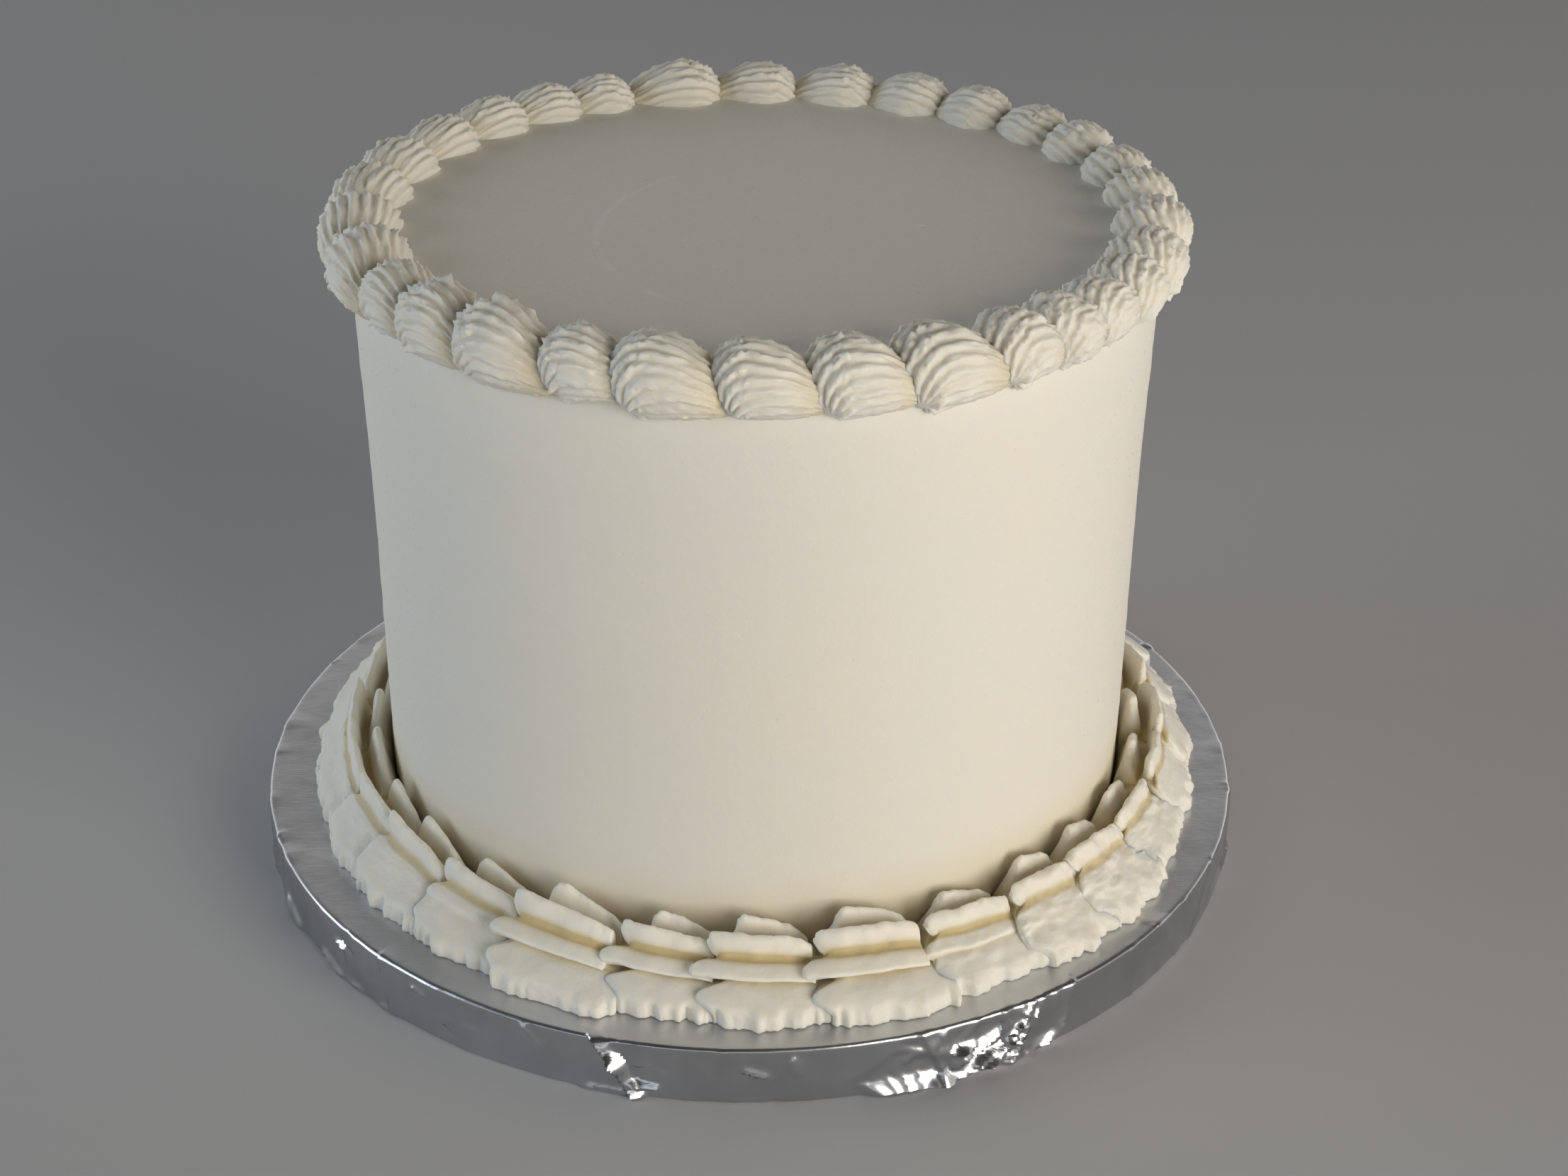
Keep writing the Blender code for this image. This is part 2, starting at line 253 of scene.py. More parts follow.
@dataclass(frozen=True)
class Buttercream:
    """Whipped white icing: matt, slightly translucent, with fine grain and moist spots, and painted shade in
    the recesses that a piece marks.
    """

    name: str
    pale: tuple[float, float, float] = (0.82, 0.80, 0.735)
    warm: tuple[float, float, float] = (0.84, 0.795, 0.69)
    # The dark warm colour of the painted shade in recesses
    recess_shade_colour: tuple[float, float, float] = (0.66, 0.54, 0.29)
    smear: tuple[float, float, float] = (0.95, 0.94, 0.9)
    roughness: float = 0.55
    moist_gloss: float = 0.3
    specular: float = 0.35
    translucency: float = 0.5
    scatter: tuple[float, float, float] = (1.0, 0.8, 0.5)
    scatter_reach: float = 1.8 * MM
    grain: float = 0.4
    grain_size: float = 0.7 * MM
    smoothed: bool = False
    pits_to_the_metre: float = 150.0
    arc_middle: tuple[float, float] = (14.1 * MM, -9.7 * MM)
    arc_radius: float = 43.2 * MM
    arc_width: float = 1.1 * MM
    arc_fade: tuple[float, float] = (-24 * MM, -8 * MM)

    def material(self) -> bpy.types.Material:
        """Build the node material.

        Returns:
            The material.
        """
        material, tree, shader = new_material(self.name)
        place = add_node(tree, "ShaderNodeTexCoord", output="Object")
        broad = noise_at(place, 22.0, 3.0) * 1.6 + 0.5
        tone = mix_colour(broad, self.pale, self.warm)
        # Painted shade: where a piece marks a recess, the tone is drawn towards the dark warm shade colour.
        hollow = add_node(tree, "ShaderNodeAttribute", output="Fac", attribute_name="hollow")
        tone = mix_colour(hollow, tone, self.recess_shade_colour)
        fine = noise_at(place, 1.0 / self.grain_size, 3.0)
        coarse = noise_at(place, 0.22 / self.grain_size, 2.0)
        height = fine * 0.35 + coarse
        if self.smoothed:
            arc = self.arc_smear(place)
            tone = mix_colour(arc * 0.5, tone, self.smear)
            height = height - self.pit_depth(tree, place) + arc
        feed(tree, shader.inputs["Base Color"], tone)
        bump = add_node(tree, "ShaderNodeBump", {
            "Height": height, "Strength": self.grain, "Distance": self.grain_size})
        feed(tree, shader.inputs["Normal"], bump)
        moist = noise_at(place, 1400.0, 1.0).ramp(0.16, 0.24)
        feed(tree, shader.inputs["Roughness"], self.roughness - moist * self.moist_gloss)
        shader.inputs["Specular IOR Level"].default_value = self.specular
        shader.inputs["Subsurface Weight"].default_value = self.translucency
        shader.inputs["Subsurface Radius"].default_value = self.scatter
        shader.inputs["Subsurface Scale"].default_value = self.scatter_reach
        return material

    def arc_smear(self, place: Term) -> Term:
        """The pale arc that the palette knife left on the left half of the top.

        Args:
            place: where on the surface.

        Returns:
            How strongly the arc shows.
        """
        x, y, z = parts_of(place)
        across, along = x - self.arc_middle[0], y - self.arc_middle[1]
        distance = ((across * across + along * along).power(0.5) - self.arc_radius).size()
        band = 1.0 - distance.ramp(0.2 * self.arc_width, self.arc_width)
        wear = (noise_at(place, 140.0, 3.0) + 0.5).ramp(0.25, 0.7)
        left = 1.0 - x.ramp(*self.arc_fade)
        return band * wear * left * z.ramp(CAKE_TOP - 2 * MM, CAKE_TOP - 1 * MM)

    def pit_depth(self, tree: bpy.types.NodeTree, place: Term) -> Term:
        """Small pits and specks that the palette knife leaves here and there.

        Args:
            tree: the material's tree.
            place: where on the surface.

        Returns:
            The depth of a pit.
        """
        cell = tree.nodes.new("ShaderNodeTexVoronoi")
        feed(tree, cell.inputs["Vector"], place)
        cell.inputs["Scale"].default_value = self.pits_to_the_metre
        distance = Term(tree, cell.outputs["Distance"])
        chosen = add_node(tree, "ShaderNodeSeparateColor", {"Color": Term(tree, cell.outputs["Color"])})
        return (1.0 - distance.ramp(0.03, 0.085)) * chosen.ramp(0.78, 0.8) * 2.5


@dataclass(frozen=True)
class FoilFinish:
    """Silver foil: satin where it lies flat, and glossy where it is stretched over the rim."""

    name: str
    silver: tuple[float, float, float] = (0.66, 0.67, 0.70)
    dark: tuple[float, float, float] = (0.42, 0.43, 0.45)
    satin: float = 0.34
    gloss: float = 0.22
    wrinkle: float = 0.22
    wrinkle_depth: float = 0.5 * MM

    def material(self) -> bpy.types.Material:
        """Build the node material.

        Returns:
            The material.
        """
        material, tree, shader = new_material(self.name)
        place = add_node(tree, "ShaderNodeTexCoord", output="Object")
        side = add_node(tree, "ShaderNodeAttribute", output="Fac", attribute_name="side")
        cloud = noise_at(place, 40.0, 4.0) + 0.5
        drawn_out = add_node(tree, "ShaderNodeMapping", {
            "Vector": place, "Scale": (1.0, 1.0, 0.35), "Rotation": (0.35, 0.2, 0.0)})
        facet = add_node(tree, "ShaderNodeTexVoronoi", {
            "Vector": drawn_out, "Scale": 95.0, "Smoothness": 0.35}, "Color", feature="SMOOTH_F1")
        tone = add_node(tree, "ShaderNodeSeparateColor", {"Color": facet})
        streak = noise_at(drawn_out, 260.0, 3.0) + 0.5
        dullness = cloud.ramp(0.2, 0.8) * (0.7 - side * 0.3) + side * (tone * 0.3 + streak * 0.3)
        feed(tree, shader.inputs["Base Color"], mix_colour(dullness, self.silver, self.dark))
        shader.inputs["Metallic"].default_value = 1.0
        feed(tree, shader.inputs["Roughness"], self.satin + cloud * 0.08 - side * (self.gloss - tone * 0.1))
        rub = add_node(tree, "ShaderNodeMapping", {
            "Vector": place, "Rotation": (0.5, 0.3, 0.6), "Scale": (1.0, 9.0, 1.0)})
        lines = noise_at(rub, 420.0, 2.0)
        dimple = noise_at(place, 160.0, 2.0)
        bump = add_node(tree, "ShaderNodeBump", {
            "Height": lines * 0.25 + dimple, "Strength": self.wrinkle, "Distance": self.wrinkle_depth})
        feed(tree, shader.inputs["Normal"], bump)
        return material


def new_material(name: str) -> tuple[bpy.types.Material, bpy.types.NodeTree, bpy.types.Node]:
    """Start a node material.

    Args:
        name: the material's name.

    Returns:
        The material, its tree and its shader.
    """
    material = bpy.data.materials.new(name)
    material.use_nodes = True
    tree = material.node_tree
    return material, tree, tree.nodes["Principled BSDF"]


def mix_colour(share: Term, first: object, second: object) -> Term:
    """Blend two colours.

    Args:
        share: how much of the second colour.
        first: a colour or a term that carries one.
        second: a colour or a term that carries one.

    Returns:
        The blended colour.
    """
    made = share.tree.nodes.new("ShaderNodeMix")
    made.data_type = "RGBA"
    feed(share.tree, made.inputs["Factor"], share)
    for socket, colour in ((made.inputs[6], first), (made.inputs[7], second)):
        feed(share.tree, socket, colour if isinstance(colour, Term) else (*colour, 1.0))
    return Term(share.tree, made.outputs[2])


def link(name: str, data: bpy.types.ID) -> bpy.types.Object:
    """Put a mesh, light or camera in the scene as an object at the origin.

    Args:
        name: the object's name.
        data: what the object holds.

    Returns:
        The object.
    """
    made = bpy.data.objects.new(name, data)
    bpy.context.scene.collection.objects.link(made)
    return made


def settle(piece: bpy.types.Object) -> bpy.types.Mesh:
    """Turn what a piece's modifiers make into its plain mesh.

    Args:
        piece: the piece.

    Returns:
        Its new mesh.
    """
    mesh = bpy.data.meshes.new_from_object(piece.evaluated_get(bpy.context.evaluated_depsgraph_get()))
    mesh.name = piece.name
    piece.modifiers.clear()
    piece.data = mesh
    return mesh


def build_mesh(name: str, body: bmesh.types.BMesh) -> bpy.types.Mesh:
    """Keep a body of faces as a mesh."""
    mesh = bpy.data.meshes.new(name)
    body.to_mesh(mesh)
    body.free()
    return mesh


def near_angle(angle: float, middle: float, width: float) -> float:
    """How near an angle lies to a middle: 1 there, and fading over a width."""
    return math.exp(-(((angle - middle) / width) ** 2))


def dress(piece: bpy.types.Object, node: str) -> None:
    """Let a piece stand for a solid of the frame.

    Args:
        piece: the piece.
        node: the solid that it stands for.
    """
    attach(piece, BODY)
    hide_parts(node)
    log.info("%s: %d faces", piece.name, len(piece.data.polygons))


def seeded_sizes(count: int, spread: float, seed: int) -> list[float]:
    """Uneven sizes of piped pieces, as shares of the size that the rule gives."""
    draw = random.Random(seed)
    return [1 + draw.uniform(-spread, spread) for _ in range(count)]


def gaps(angles: list[float]) -> list[float]:
    """The angle from each piece to the next one round the ring."""
    return [following - angle for angle, following in zip(angles, angles[1:] + [angles[0] + math.tau])]


def smooth_row(rows: list[tuple[float, ...]], steps: int, closed: bool) -> list[list[float]]:
    """Points on a smooth line through rows of numbers.

    Args:
        rows: the rows that the line passes through.
        steps: how many points stand between two rows.
        closed: whether the line runs back to its start.

    Returns:
        The points.
    """
    count = len(rows)
    spans = count if closed else count - 1
    points = []
    for span in range(spans):
        if closed:
            before, here, there, after = (rows[(span + shift) % count] for shift in (-1, 0, 1, 2))
        else:
            here, there = rows[span], rows[span + 1]
            before, after = rows[max(span - 1, 0)], rows[min(span + 2, count - 1)]
        for step in range(steps):
            t = step / steps
            points.append([
                0.5 * (2 * b + (c - a) * t + (2 * a - 5 * b + 4 * c - d) * t ** 2
                       + (3 * b - a - 3 * c + d) * t ** 3)
                for a, b, c, d in zip(before, here, there, after)])
    if not closed:
        points.append(list(rows[-1]))
    return points


class PipingTree:
    """A node tree that grows one piped piece at every point of a mesh.

    Args:
        name: the tree's name.
        sizes: the tree's named inputs and their values.
    """

    def __init__(self, name: str, sizes: dict[str, float]) -> None:
        """Start the tree with its inputs."""
        self.sizes = sizes
        self.tree = bpy.data.node_groups.new(name, "GeometryNodeTree")
        sockets = self.tree.interface
        sockets.new_socket("Geometry", in_out="INPUT", socket_type="NodeSocketGeometry")
        for label in sizes:
            sockets.new_socket(label, in_out="INPUT", socket_type="NodeSocketFloat")
        sockets.new_socket("Geometry", in_out="OUTPUT", socket_type="NodeSocketGeometry")
        self.entry = self.tree.nodes.new("NodeGroupInput")
        self.exit = self.tree.nodes.new("NodeGroupOutput")

    def size(self, label: str) -> Term:
        """One of the tree's named inputs."""
        return Term(self.tree, self.entry.outputs[label])

    def attribute(self, name: str) -> Term:
        """A number that each point of the mesh carries."""
        return add_node(self.tree, "GeometryNodeInputNamedAttribute", {"Name": name}, "Attribute",
                        data_type="FLOAT")

    def place(self) -> tuple[Term, Term, Term]:
        """The three parts of each point's place."""
        return parts_of(add_node(self.tree, "GeometryNodeInputPosition"))

    def repeat(self, unit: Term) -> Term:
        """Stand a unit at every point and make the copies real.

        Args:
            unit: the shape to stand there.

        Returns:
            The copies.
        """
        points = Term(self.tree, self.entry.outputs["Geometry"])
        copies = add_node(self.tree, "GeometryNodeInstanceOnPoints", {"Points": points, "Instance": unit})
        return add_node(self.tree, "GeometryNodeRealizeInstances", {"Geometry": copies})

    def keep(self, shape: Term, name: str, value: Term) -> Term:
        """Store a number on the points for the material to read."""
        return add_node(self.tree, "GeometryNodeStoreNamedAttribute", {
            "Geometry": shape, "Name": name, "Value": value}, data_type="FLOAT", domain="POINT")

    def round_the_cake(self, shape: Term, radius: Term, along: Term, out: Term, height: Term) -> Term:
        """Bend the copies round the cake.

        Args:
            shape: the copies.
            radius: the radius of the border's middle line.
            along: the way along that line from each copy's own angle.
            out: the way out from it.
            height: the height above the floor.

        Returns:
            The bent copies.
        """
        turn = self.attribute("angle") + along / radius
        reach = radius + out
        position = point_at(reach * turn.cos() + CAKE_CENTRE.x, reach * turn.sin() + CAKE_CENTRE.y, height)
        return add_node(self.tree, "GeometryNodeSetPosition", {"Geometry": shape, "Position": position})

    def finish(self, shape: Term, material: bpy.types.Material) -> None:
        """Close the seams, shade the shape smooth and give it its material.

        Args:
            shape: the bent copies.
            material: their material.
        """
        shape = add_node(self.tree, "GeometryNodeMergeByDistance", {
            "Geometry": shape, "Distance": SEAM_DISTANCE})
        shape = add_node(self.tree, "GeometryNodeSetShadeSmooth", {"Geometry": shape})
        shape = add_node(self.tree, "GeometryNodeRealizeInstances", {"Geometry": shape})
        shape = add_node(self.tree, "GeometryNodeSetMaterial", {"Geometry": shape, "Material": material})
        feed(self.tree, self.exit.inputs["Geometry"], shape)

    def grow(self, name: str, rows: list[dict[str, float]]) -> bpy.types.Object:
        """Grow the pieces and keep them as one plain mesh.

        Args:
            name: the piece's name.
            rows: the numbers that each copy carries.

        Returns:
            The grown piece.
        """
        mesh = bpy.data.meshes.new(name)
        mesh.from_pydata([(0.0, 0.0, 0.0)] * len(rows), [], [])
        for label in rows[0]:
            numbers = mesh.attributes.new(label, "FLOAT", "POINT")
            numbers.data.foreach_set("value", [row[label] for row in rows])
        piece = link(name, mesh)
        growth = piece.modifiers.new("Growth", "NODES")
        growth.node_group = self.tree
        for item in self.tree.interface.items_tree:
            if item.in_out == "INPUT" and item.name in self.sizes:
                growth[item.identifier] = self.sizes[item.name]
        settle(piece)
        return piece


class Quarter(Enum):
    """The four parts that a border is made in, so that each stays a mesh of moderate size."""

    FRONT_RIGHT = (1, -1)
    BACK_RIGHT = (1, 1)
    BACK_LEFT = (-1, 1)
    FRONT_LEFT = (-1, -1)

    def holds(self, angle: float) -> bool:
        """Whether an angle round the cake falls in this quarter."""
        right, back = self.value
        return (math.cos(angle) >= 0) == (right > 0) and (math.sin(angle) >= 0) == (back > 0)


@dataclass
class ShellBorder:
    """Shells piped with a star nozzle round the top edge, each head over the tail before it."""

    ring_radius: float = 74.9 * MM
    drop: float = 0.4 * MM
    head_length: float = 7.0 * MM
    overlap: float = 6.0 * MM
    half_width: float = 7.6 * MM
    half_height: float = 6.8 * MM
    taper: float = 0.34
    slant: float = 0.14
    sag: float = 0.27
    ridges: int = 19
    points_on_ridge: int = 8
    steps_along: int = 52
    groove_depth: float = 0.085
    tear: float = 0.16
    spike: float = 0.42
    lump: float = 0.07
    smeared_lump: float = 0.32
    finger: float = 0.14
    join_angle: float = math.radians(-45)
    join_width: float = math.radians(9)
    torn_angle: float = math.radians(-128)
    torn_width: float = math.radians(16)

    # Middles of the heads round the top in degrees, and their shares of full size, as in the solids
    places = (
        -136.8, -125.3, -112.8, -102.6, -90.3, -78.1, -66.6, -54.0, -45.3, -37.3, -27.8,
        -17.8, -4.8, 7.7, 17.7, 29.7, 39.7, 51.7, 63.7, 76.0, 89.2, 102.5,
        116.7, 126.2, 137.2, 148.5, 161.2, 173.2, 186.2, 200.2, 213.2,
    )
    girths = (
        1.00, 1.06, 0.94, 1.07, 1.00, 1.04, 1.08, 1.00, 0.98, 0.92, 0.96,
        1.00, 1.02, 0.98, 0.96, 1.00, 0.95, 1.00, 1.03, 1.00, 1.00, 1.12,
        0.95, 0.93, 0.97, 0.94, 1.00, 1.02, 1.05, 1.08, 0.95,
    )

    def rows(self, quarter: Quarter) -> list[dict[str, float]]:
        """The numbers of each shell in one quarter.

        Args:
            quarter: the quarter.

        Returns:
            A row of named numbers for each shell.
        """
        angles = [math.radians(place) for place in self.places]
        rows = []
        for index, (angle, gap, girth) in enumerate(zip(angles, gaps(angles), self.girths)):
            if quarter.holds(angle):
                rows.append({
                    "angle": angle,
                    "tail": gap * self.ring_radius - self.head_length + self.overlap,
                    "girth": girth,
                    "index": float(index),
                    "smear": near_angle(angle, self.join_angle, self.join_width),
                    "torn": near_angle(angle, self.torn_angle, self.torn_width),
                })
        return rows

    def directions(self, sweep: Term, turn: Term) -> list[Term]:
        """Out, along and up from the middle of a shell's head.

        Args:
            sweep: how far along a ridge, from 0 at its start to pi at its end.
            turn: which ridge, as an angle round the shell.

        Returns:
            The three parts of the direction.
        """
        start = Vector((0.50, -0.38, -0.78)).normalized()
        far_end = -Vector((0.2, 0.93, -0.3)).normalized()
        hinge = start.cross(far_end).normalized()
        side = hinge.cross(start)
        lean = sweep * (start.angle(far_end) / math.pi)
        lean_cos, lean_sin = lean.cos(), lean.sin()
        turn_cos, turn_sin = turn.cos(), turn.sin()
        sweep_cos, sweep_sin = sweep.cos(), sweep.sin()
        parts = []
        for first, second, third in zip(start, side, hinge):
            middle = lean_cos * first + lean_sin * second
            across = turn_cos * third + turn_sin * (lean_sin * first - lean_cos * second)
            parts.append(middle * sweep_cos + across * sweep_sin)
        return parts

    def tree(self, material: bpy.types.Material) -> PipingTree:
        """Build the tree that grows the shells.

        Args:
            material: the shells' material.

        Returns:
            The tree.
        """
        piping = PipingTree("piped_shells", {
            "Ring radius": self.ring_radius, "Head length": self.head_length,
            "Half width": self.half_width, "Half height": self.half_height, "Taper": self.taper,
            "Slant": self.slant, "Sag": self.sag, "Middle height": CAKE_TOP - self.drop,
            "Groove depth": self.groove_depth, "Ridges": float(self.ridges)})
        grid = add_node(piping.tree, "GeometryNodeMeshGrid", {
            "Size X": 1.0, "Size Y": 1.0, "Vertices X": self.steps_along + 1,
            "Vertices Y": self.ridges * self.points_on_ridge + 1})
        shape = piping.repeat(grid)
        share_along, share_round, _ = piping.place()
        index, girth = piping.attribute("index"), piping.attribute("girth")
        smear, torn = piping.attribute("smear"), piping.attribute("torn")
        sweep = (share_along + 0.5) * math.pi
        turn = (share_round + 0.5) * math.tau
        out, along, up = self.directions(sweep, turn)
        here = point_at(out * 7.0 + index * 13.1, along * 9.0, up * 7.0)

        # The ridges of the star nozzle run from the head's foot over its top to the tail
        warp = noise_at(here, 0.16, 1.0) * 0.07 + noise_at(here, 0.5, 1.0) * 0.03
        phase = (turn / math.tau + warp * sweep.sin()) * piping.size("Ridges") + index * 0.37
        ridge = phase.whole().apply("WRAP", float(self.ridges), 0.0)
        ridge_chance = chance(ridge + index * 41.0)
        groove = (phase * math.pi).cos().size().power(3.0)
        clear_of_ends = (sweep.sin() * 2.6).at_most(1.0)
        crest = (1.0 - groove) * clear_of_ends
        fade = (sweep.sin() * 1.7).at_most(1.0) * (1.0 - (-sweep.cos()).at_least(0.0) * 0.65)
        fade = fade * (up.ramp(-0.8, -0.15) * 0.75 + 0.25) * (1.0 - along.ramp(0.05, 0.75) * 0.7)
        depth = groove * piping.size("Groove depth") * fade * (1.0 - smear * 0.6)

        # Their crests are torn, most of all on the top, and a few run down as short fingers
        top = up.ramp(-0.2, 0.8)
        grain = noise_at(here, 1.25, 3.0)
        tear = grain * crest * (self.tear + top * self.tear + torn * top * 0.06)
        spike = (noise_at(here, 1.0, 1.0) - 0.02).at_least(0.0) * crest * crest
        spike = spike * up.ramp(0.1, 0.7) * (self.spike + torn * 0.45)
        rise = crest * torn * up.ramp(0.35, 0.8) * (ridge_chance * 0.06)
        lumps = noise_at(here, 0.28, 2.0) * (self.lump + smear * self.smeared_lump)
        finger = sweep.ramp(0.3, 0.6) * (1.0 - sweep.ramp(0.6, 1.3)) * crest * (-up).ramp(0.1, 0.6)
        finger = finger * (ridge_chance.ramp(0.35, 0.9) * self.finger)
        scale = 1.0 - depth + tear + spike + rise + lumps + finger
        # Painted shade, stored for the material: darker in the grooves, towards the tail that tucks under the
        # next head, and at the back of the head.
        shape = piping.keep(shape, "hollow", groove * fade * 0.12 + along.ramp(0.3, 0.9) * 0.6
                            + (-along).ramp(0.8, 1.0) * 0.2)
        out, along, up = out * scale, along * scale, up * scale

        # The head is round, and the tail thins, leans out and sinks towards the next head
        ahead, behind = along.at_least(0.0), along.at_most(0.0)
        slimmer = girth * (1.0 - piping.size("Taper") * ahead * ahead)
        tail = ahead * piping.attribute("tail")
        place = tail + behind * girth * piping.size("Head length")
        width = out * slimmer * piping.size("Half width") + tail * piping.size("Slant")
        height = up * slimmer * piping.size("Half height") - tail * ahead * piping.size("Sag")
        shape = piping.round_the_cake(shape, piping.size("Ring radius"), place, width,
                                      height + piping.size("Middle height"))
        piping.finish(shape, material)
        return piping

    def build(self, material: bpy.types.Material) -> None:
        """Grow every quarter and dress it.

        Args:
            material: the shells' material.
        """
        piping = self.tree(material)
        for quarter in Quarter:
            piece = piping.grow(f"top_shells_{quarter.name.lower()}", self.rows(quarter))
            dress(piece, "top_shell_border")


@dataclass
class RuffleBorder:
    """Ruffles piped on the board round the foot, each with two fins, a lip and a ragged skirt."""

    count: int = 28
    ring_out: float = 10 * MM
    first_angle: float = math.radians(-152.2)
    spacing_spread: float = math.radians(1.6)
    spacing_seed: int = 24650
    size_spread: float = 0.07
    size_seed: int = 9
    slope_spread: float = 0.11
    slope_seed: int = 4
    outline_steps: int = 3
    station_steps: int = 12
    end_round: float = 0.3 * MM
    fin_gap: float = 3.4 * MM
    tear: float = 1.3 * MM
    teeth: float = 2.6 * MM
    flutter: float = 2.6 * MM
    swell_out: float = 1.2 * MM
    swell_up: float = 1.6 * MM
    fold_shade: float = 0.9
    loose_angle: float = math.radians(-42)
    loose_width: float = math.radians(20)
    lip_angle: float = math.radians(-91)
    lip_width: float = math.radians(27)
    narrow_angles: tuple[float, float] = (math.radians(-172), math.radians(-2))
    narrow_width: float = math.radians(28)
    narrowing: float = 0.36
    narrow_from: float = 8 * MM
    skirt_from: float = 16 * MM

    # Out from the foot, up from the board, later start, curl of the head, torn edge, fall: millimetres
    outline = (
        (0.5, 0.0, 0.0, 0.0, 0.0, 0.0),
        (0.6, 5.0, 2.5, 0.0, 0.0, 0.0),
        (1.4, 8.5, 4.6, 0.0, 0.0, 1.0),
        (2.1, 11.6, 6.4, 0.0, 0.4, 2.5),
        (2.7, 14.2, 7.0, 0.3, 1.0, 3.5),
        (3.4, 14.7, 7.2, 0.3, 1.0, 3.5),
        (4.1, 14.1, 7.0, 0.3, 1.0, 3.5),
        (4.7, 11.2, 6.0, 0.0, 0.3, 2.5),
        (5.3, 7.8, 5.2, 0.0, 0.0, 1.0),
        (6.1, 6.2, 4.6, 0.0, 0.0, 0.0),
        (6.7, 7.8, 3.2, 0.0, 0.0, 0.0),
        (7.1, 10.8, 1.6, 0.0, 0.3, 0.0),
        (7.6, 12.8, 0.6, 0.2, 1.0, 0.0),
        (8.4, 13.5, 0.2, 0.2, 1.0, 0.0),
        (9.3, 12.9, 0.3, 0.2, 1.0, 0.0),
        (9.9, 11.2, 1.4, 0.0, 0.2, 0.0),
        (10.1, 10.0, 2.6, 0.0, 0.0, 0.0),
        (10.7, 9.3, 1.6, 0.0, 0.0, 0.0),
        (11.6, 9.3, -1.4, 0.6, 0.0, 0.0),
        (12.7, 9.1, -2.6, 1.0, 0.2, 0.0),
        (13.8, 8.7, -3.0, 1.2, 0.5, 0.0),
        (14.7, 8.1, -2.8, 1.0, 0.6, 0.0),
        (14.4, 7.3, -1.6, 0.6, 0.3, 0.0),
        (13.2, 6.9, 1.6, 0.2, 0.0, 0.0),
        (12.4, 6.4, 4.2, 0.0, 0.0, 0.0),
        (13.3, 6.1, 3.6, 0.0, 0.0, 0.0),
        (14.5, 5.9, 1.4, 0.0, 0.0, 0.0),
        (16.0, 5.4, -1.2, 0.0, 0.0, 0.0),
        (17.5, 4.6, -0.8, 0.0, 0.0, 0.0),
        (18.5, 3.8, 1.4, 0.0, 0.4, 0.0),
        (19.0, 2.6, 2.6, 0.0, 1.0, 0.0),
        (19.2, 0.9, 2.8, 0.0, 1.0, 0.0),
        (18.7, 0.0, 2.6, 0.0, 0.7, 0.0),
        (14.0, 0.0, 1.0, 0.0, 0.0, 0.0),
        (7.0, 0.0, 0.5, 0.0, 0.0, 0.0),
    )

    # Out, up and width of the recesses between the folds, and of those at the lip, in millimetres: shade is
    # painted near them
    folds = ((1.0, 3.0, 5.0), (6.0, 6.4, 3.0), (10.4, 9.4, 0.9))
    lip_folds = ((10.5, 9.2, 1.3), (12.5, 6.3, 1.3))

    # The outline's rows from number 17 on where a ruffle has no lip: out, up and later start
    plain_from: int = 17
    plain_rows = (
        (10.8, 9.0, 0.6), (11.5, 8.7, -0.4), (12.0, 8.4, -0.8), (12.5, 8.1, -1.0), (12.9, 7.8, -1.2),
        (13.3, 7.5, -1.3), (13.7, 7.2, -1.4), (14.1, 6.9, -1.4), (14.6, 6.5, -1.4), (15.3, 6.0, -1.3),
        (16.2, 5.4, -1.2),
    )

    # Along a ruffle, head first: place in millimetres, height, reach, lift in millimetres, stagger
    stations = (
        (-10.6, 0.86, 0.96, 0.0, 0.8),
        (-9.2, 0.99, 0.99, 0.3, 0.8),
        (-1.0, 0.98, 1.01, 0.0, 0.4),
        (6.5, 0.9, 0.98, 0.0, 0.1),
        (11.6, 0.76, 0.94, 0.0, 0.0),
    )

    def angles(self) -> list[float]:
        """Where the ruffles stand round the foot, as in the solids.

        Returns:
            Their angles.
        """
        draw = random.Random(self.spacing_seed)
        found = []
        for index in range(self.count):
            slip = draw.uniform(-self.spacing_spread, self.spacing_spread)
            found.append(self.first_angle + math.tau * index / self.count + slip)
        return found

    def rows(self, quarter: Quarter) -> list[dict[str, float]]:
        """The numbers of each ruffle in one quarter.

        Args:
            quarter: the quarter.

        Returns:
            A row of named numbers for each ruffle.
        """
        angles = self.angles()
        girths = seeded_sizes(self.count, self.size_spread, self.size_seed)
        draw = random.Random(self.slope_seed)
        rows = []
        for index, (angle, gap, girth) in enumerate(zip(angles, gaps(angles), girths)):
            slope = draw.uniform(-self.slope_spread, self.slope_spread)
            if quarter.holds(angle):
                rows.append({
                    "angle": angle, "stretch": gap * self.count / math.tau, "girth": girth,
                    "index": float(index), "slope": slope,
                    "loose": near_angle(angle, self.loose_angle, self.loose_width),
                    "lip": 1 / (1 + self.away(angle, self.lip_angle, self.lip_width) ** 8),
                    "spread": 1 - self.narrowing * sum(
                        math.exp(-self.away(angle, middle, self.narrow_width) ** 2)
                        for middle in self.narrow_angles)})
        return rows

    @staticmethod
    def away(angle: float, middle: float, width: float) -> float:
        """How many widths an angle lies from a middle, the shorter way round."""
        return math.remainder(angle - middle, math.tau) / width

